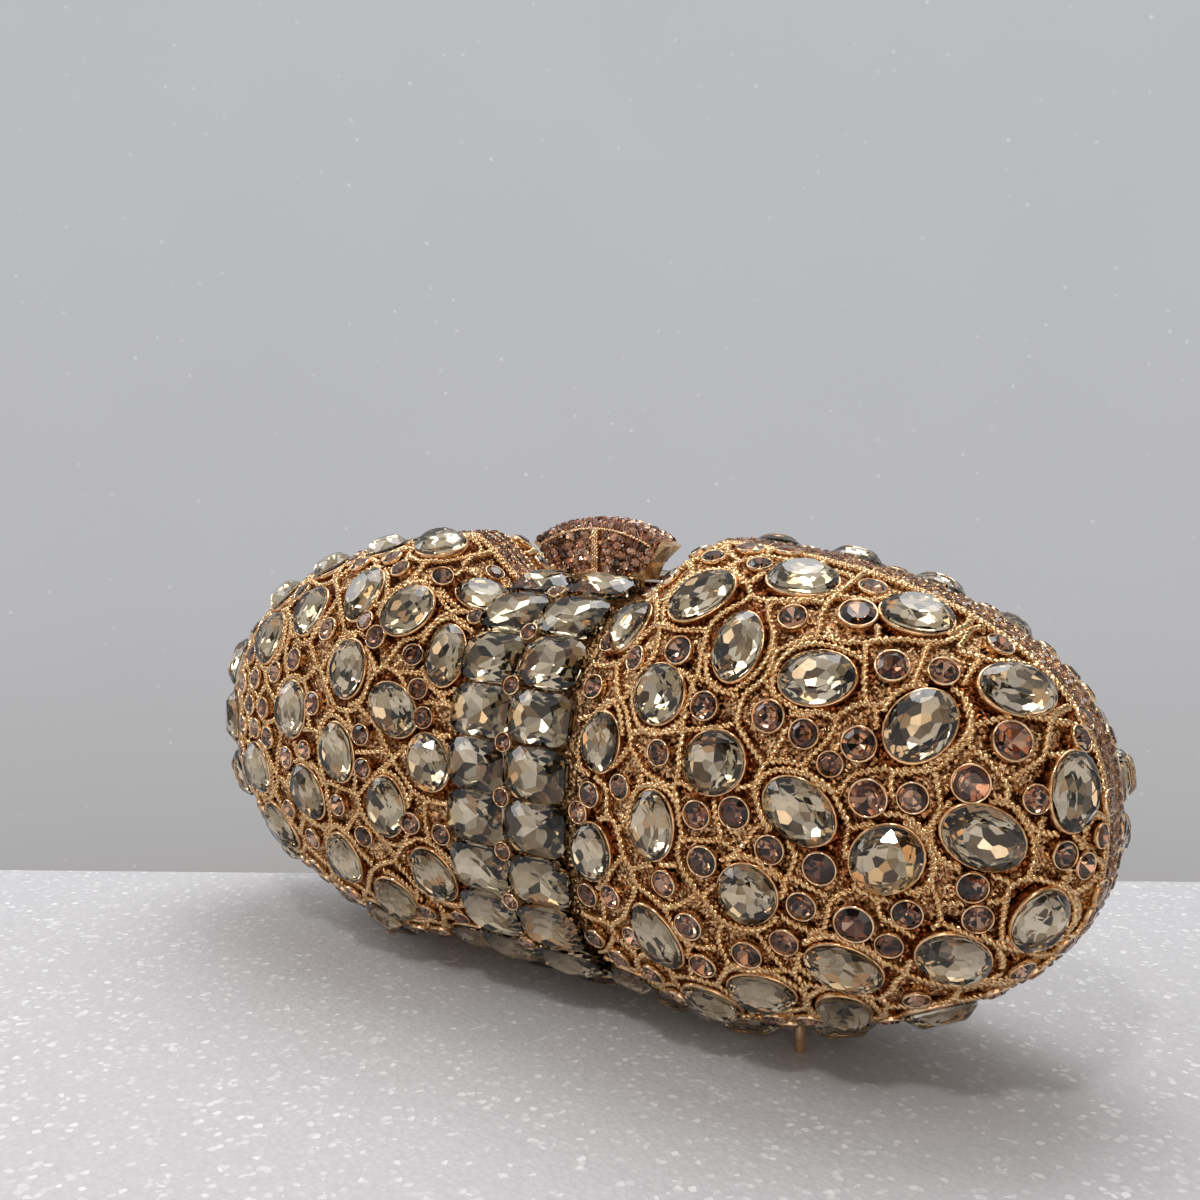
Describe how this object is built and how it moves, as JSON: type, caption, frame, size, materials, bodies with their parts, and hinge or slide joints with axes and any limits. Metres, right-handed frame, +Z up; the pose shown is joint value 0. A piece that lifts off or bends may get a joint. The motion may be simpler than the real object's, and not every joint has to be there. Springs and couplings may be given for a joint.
{
  "type": "minaudiere",
  "caption": "Hard metal evening bag shaped as a bow, its two half shells hinged under the waist, with crystals in a wire filigree skin, a stone-set waist band and a fan clasp knob.",
  "frame": {"origin": "on the floor below the middle of the waist, in the plane of the seam", "axes": "+X along the bow towards the lobe on the right of the front, +Y to the rear, +Z up"},
  "size_m": [0.2118, 0.0758, 0.0991],
  "materials": {
    "rose_gold": "polished rose gold plate",
    "antique_gold": "antiqued gold plate with dark recesses",
    "smoke_crystal": "faceted smoky crystal, foiled behind",
    "champagne_crystal": "faceted champagne crystal, foiled behind",
    "satin_lining": "satin",
    "spring_steel": "brushed"
  },
  "bodies": {
    "body": {"rear_shell": "rose_gold", "rear_lining": "satin_lining", "rear_rim": "rose_gold", "rear_band": "smoke_crystal", "rear_right_filigree": "antique_gold", "rear_left_filigree": "antique_gold", "rear_right_pave": "champagne_crystal", "rear_left_pave": "champagne_crystal", "rear_right_foot": "rose_gold", "rear_left_foot": "rose_gold", "rear_hinge_leaf": "rose_gold", "hinge_pin": "spring_steel", "latch_spring": "spring_steel"},
    "lid": {"front_shell": "rose_gold", "front_lining": "satin_lining", "front_rim": "rose_gold", "front_band": "smoke_crystal", "front_right_filigree": "antique_gold", "front_left_filigree": "antique_gold", "front_right_pave": "champagne_crystal", "front_left_pave": "champagne_crystal", "front_right_foot": "rose_gold", "front_left_foot": "rose_gold", "front_hinge_leaf": "rose_gold", "strike_plate": "spring_steel"},
    "knob": {"clasp_knob": "rose_gold"}
  },
  "joints": [
    {"name": "lid_hinge", "type": "hinge", "parent": "body", "child": "lid", "pos_m": [0, 0, 0.00355], "axis": [1, 0, 0], "range_deg": [0, 85]},
    {"name": "knob_press", "type": "slide", "parent": "body", "child": "knob", "axis": [0, 0, -1], "range_m": [0, 0.0015], "stiffness_N_per_m": 2000, "springref_m": -0.0006, "deforming": ["latch_spring"]}
  ]
}
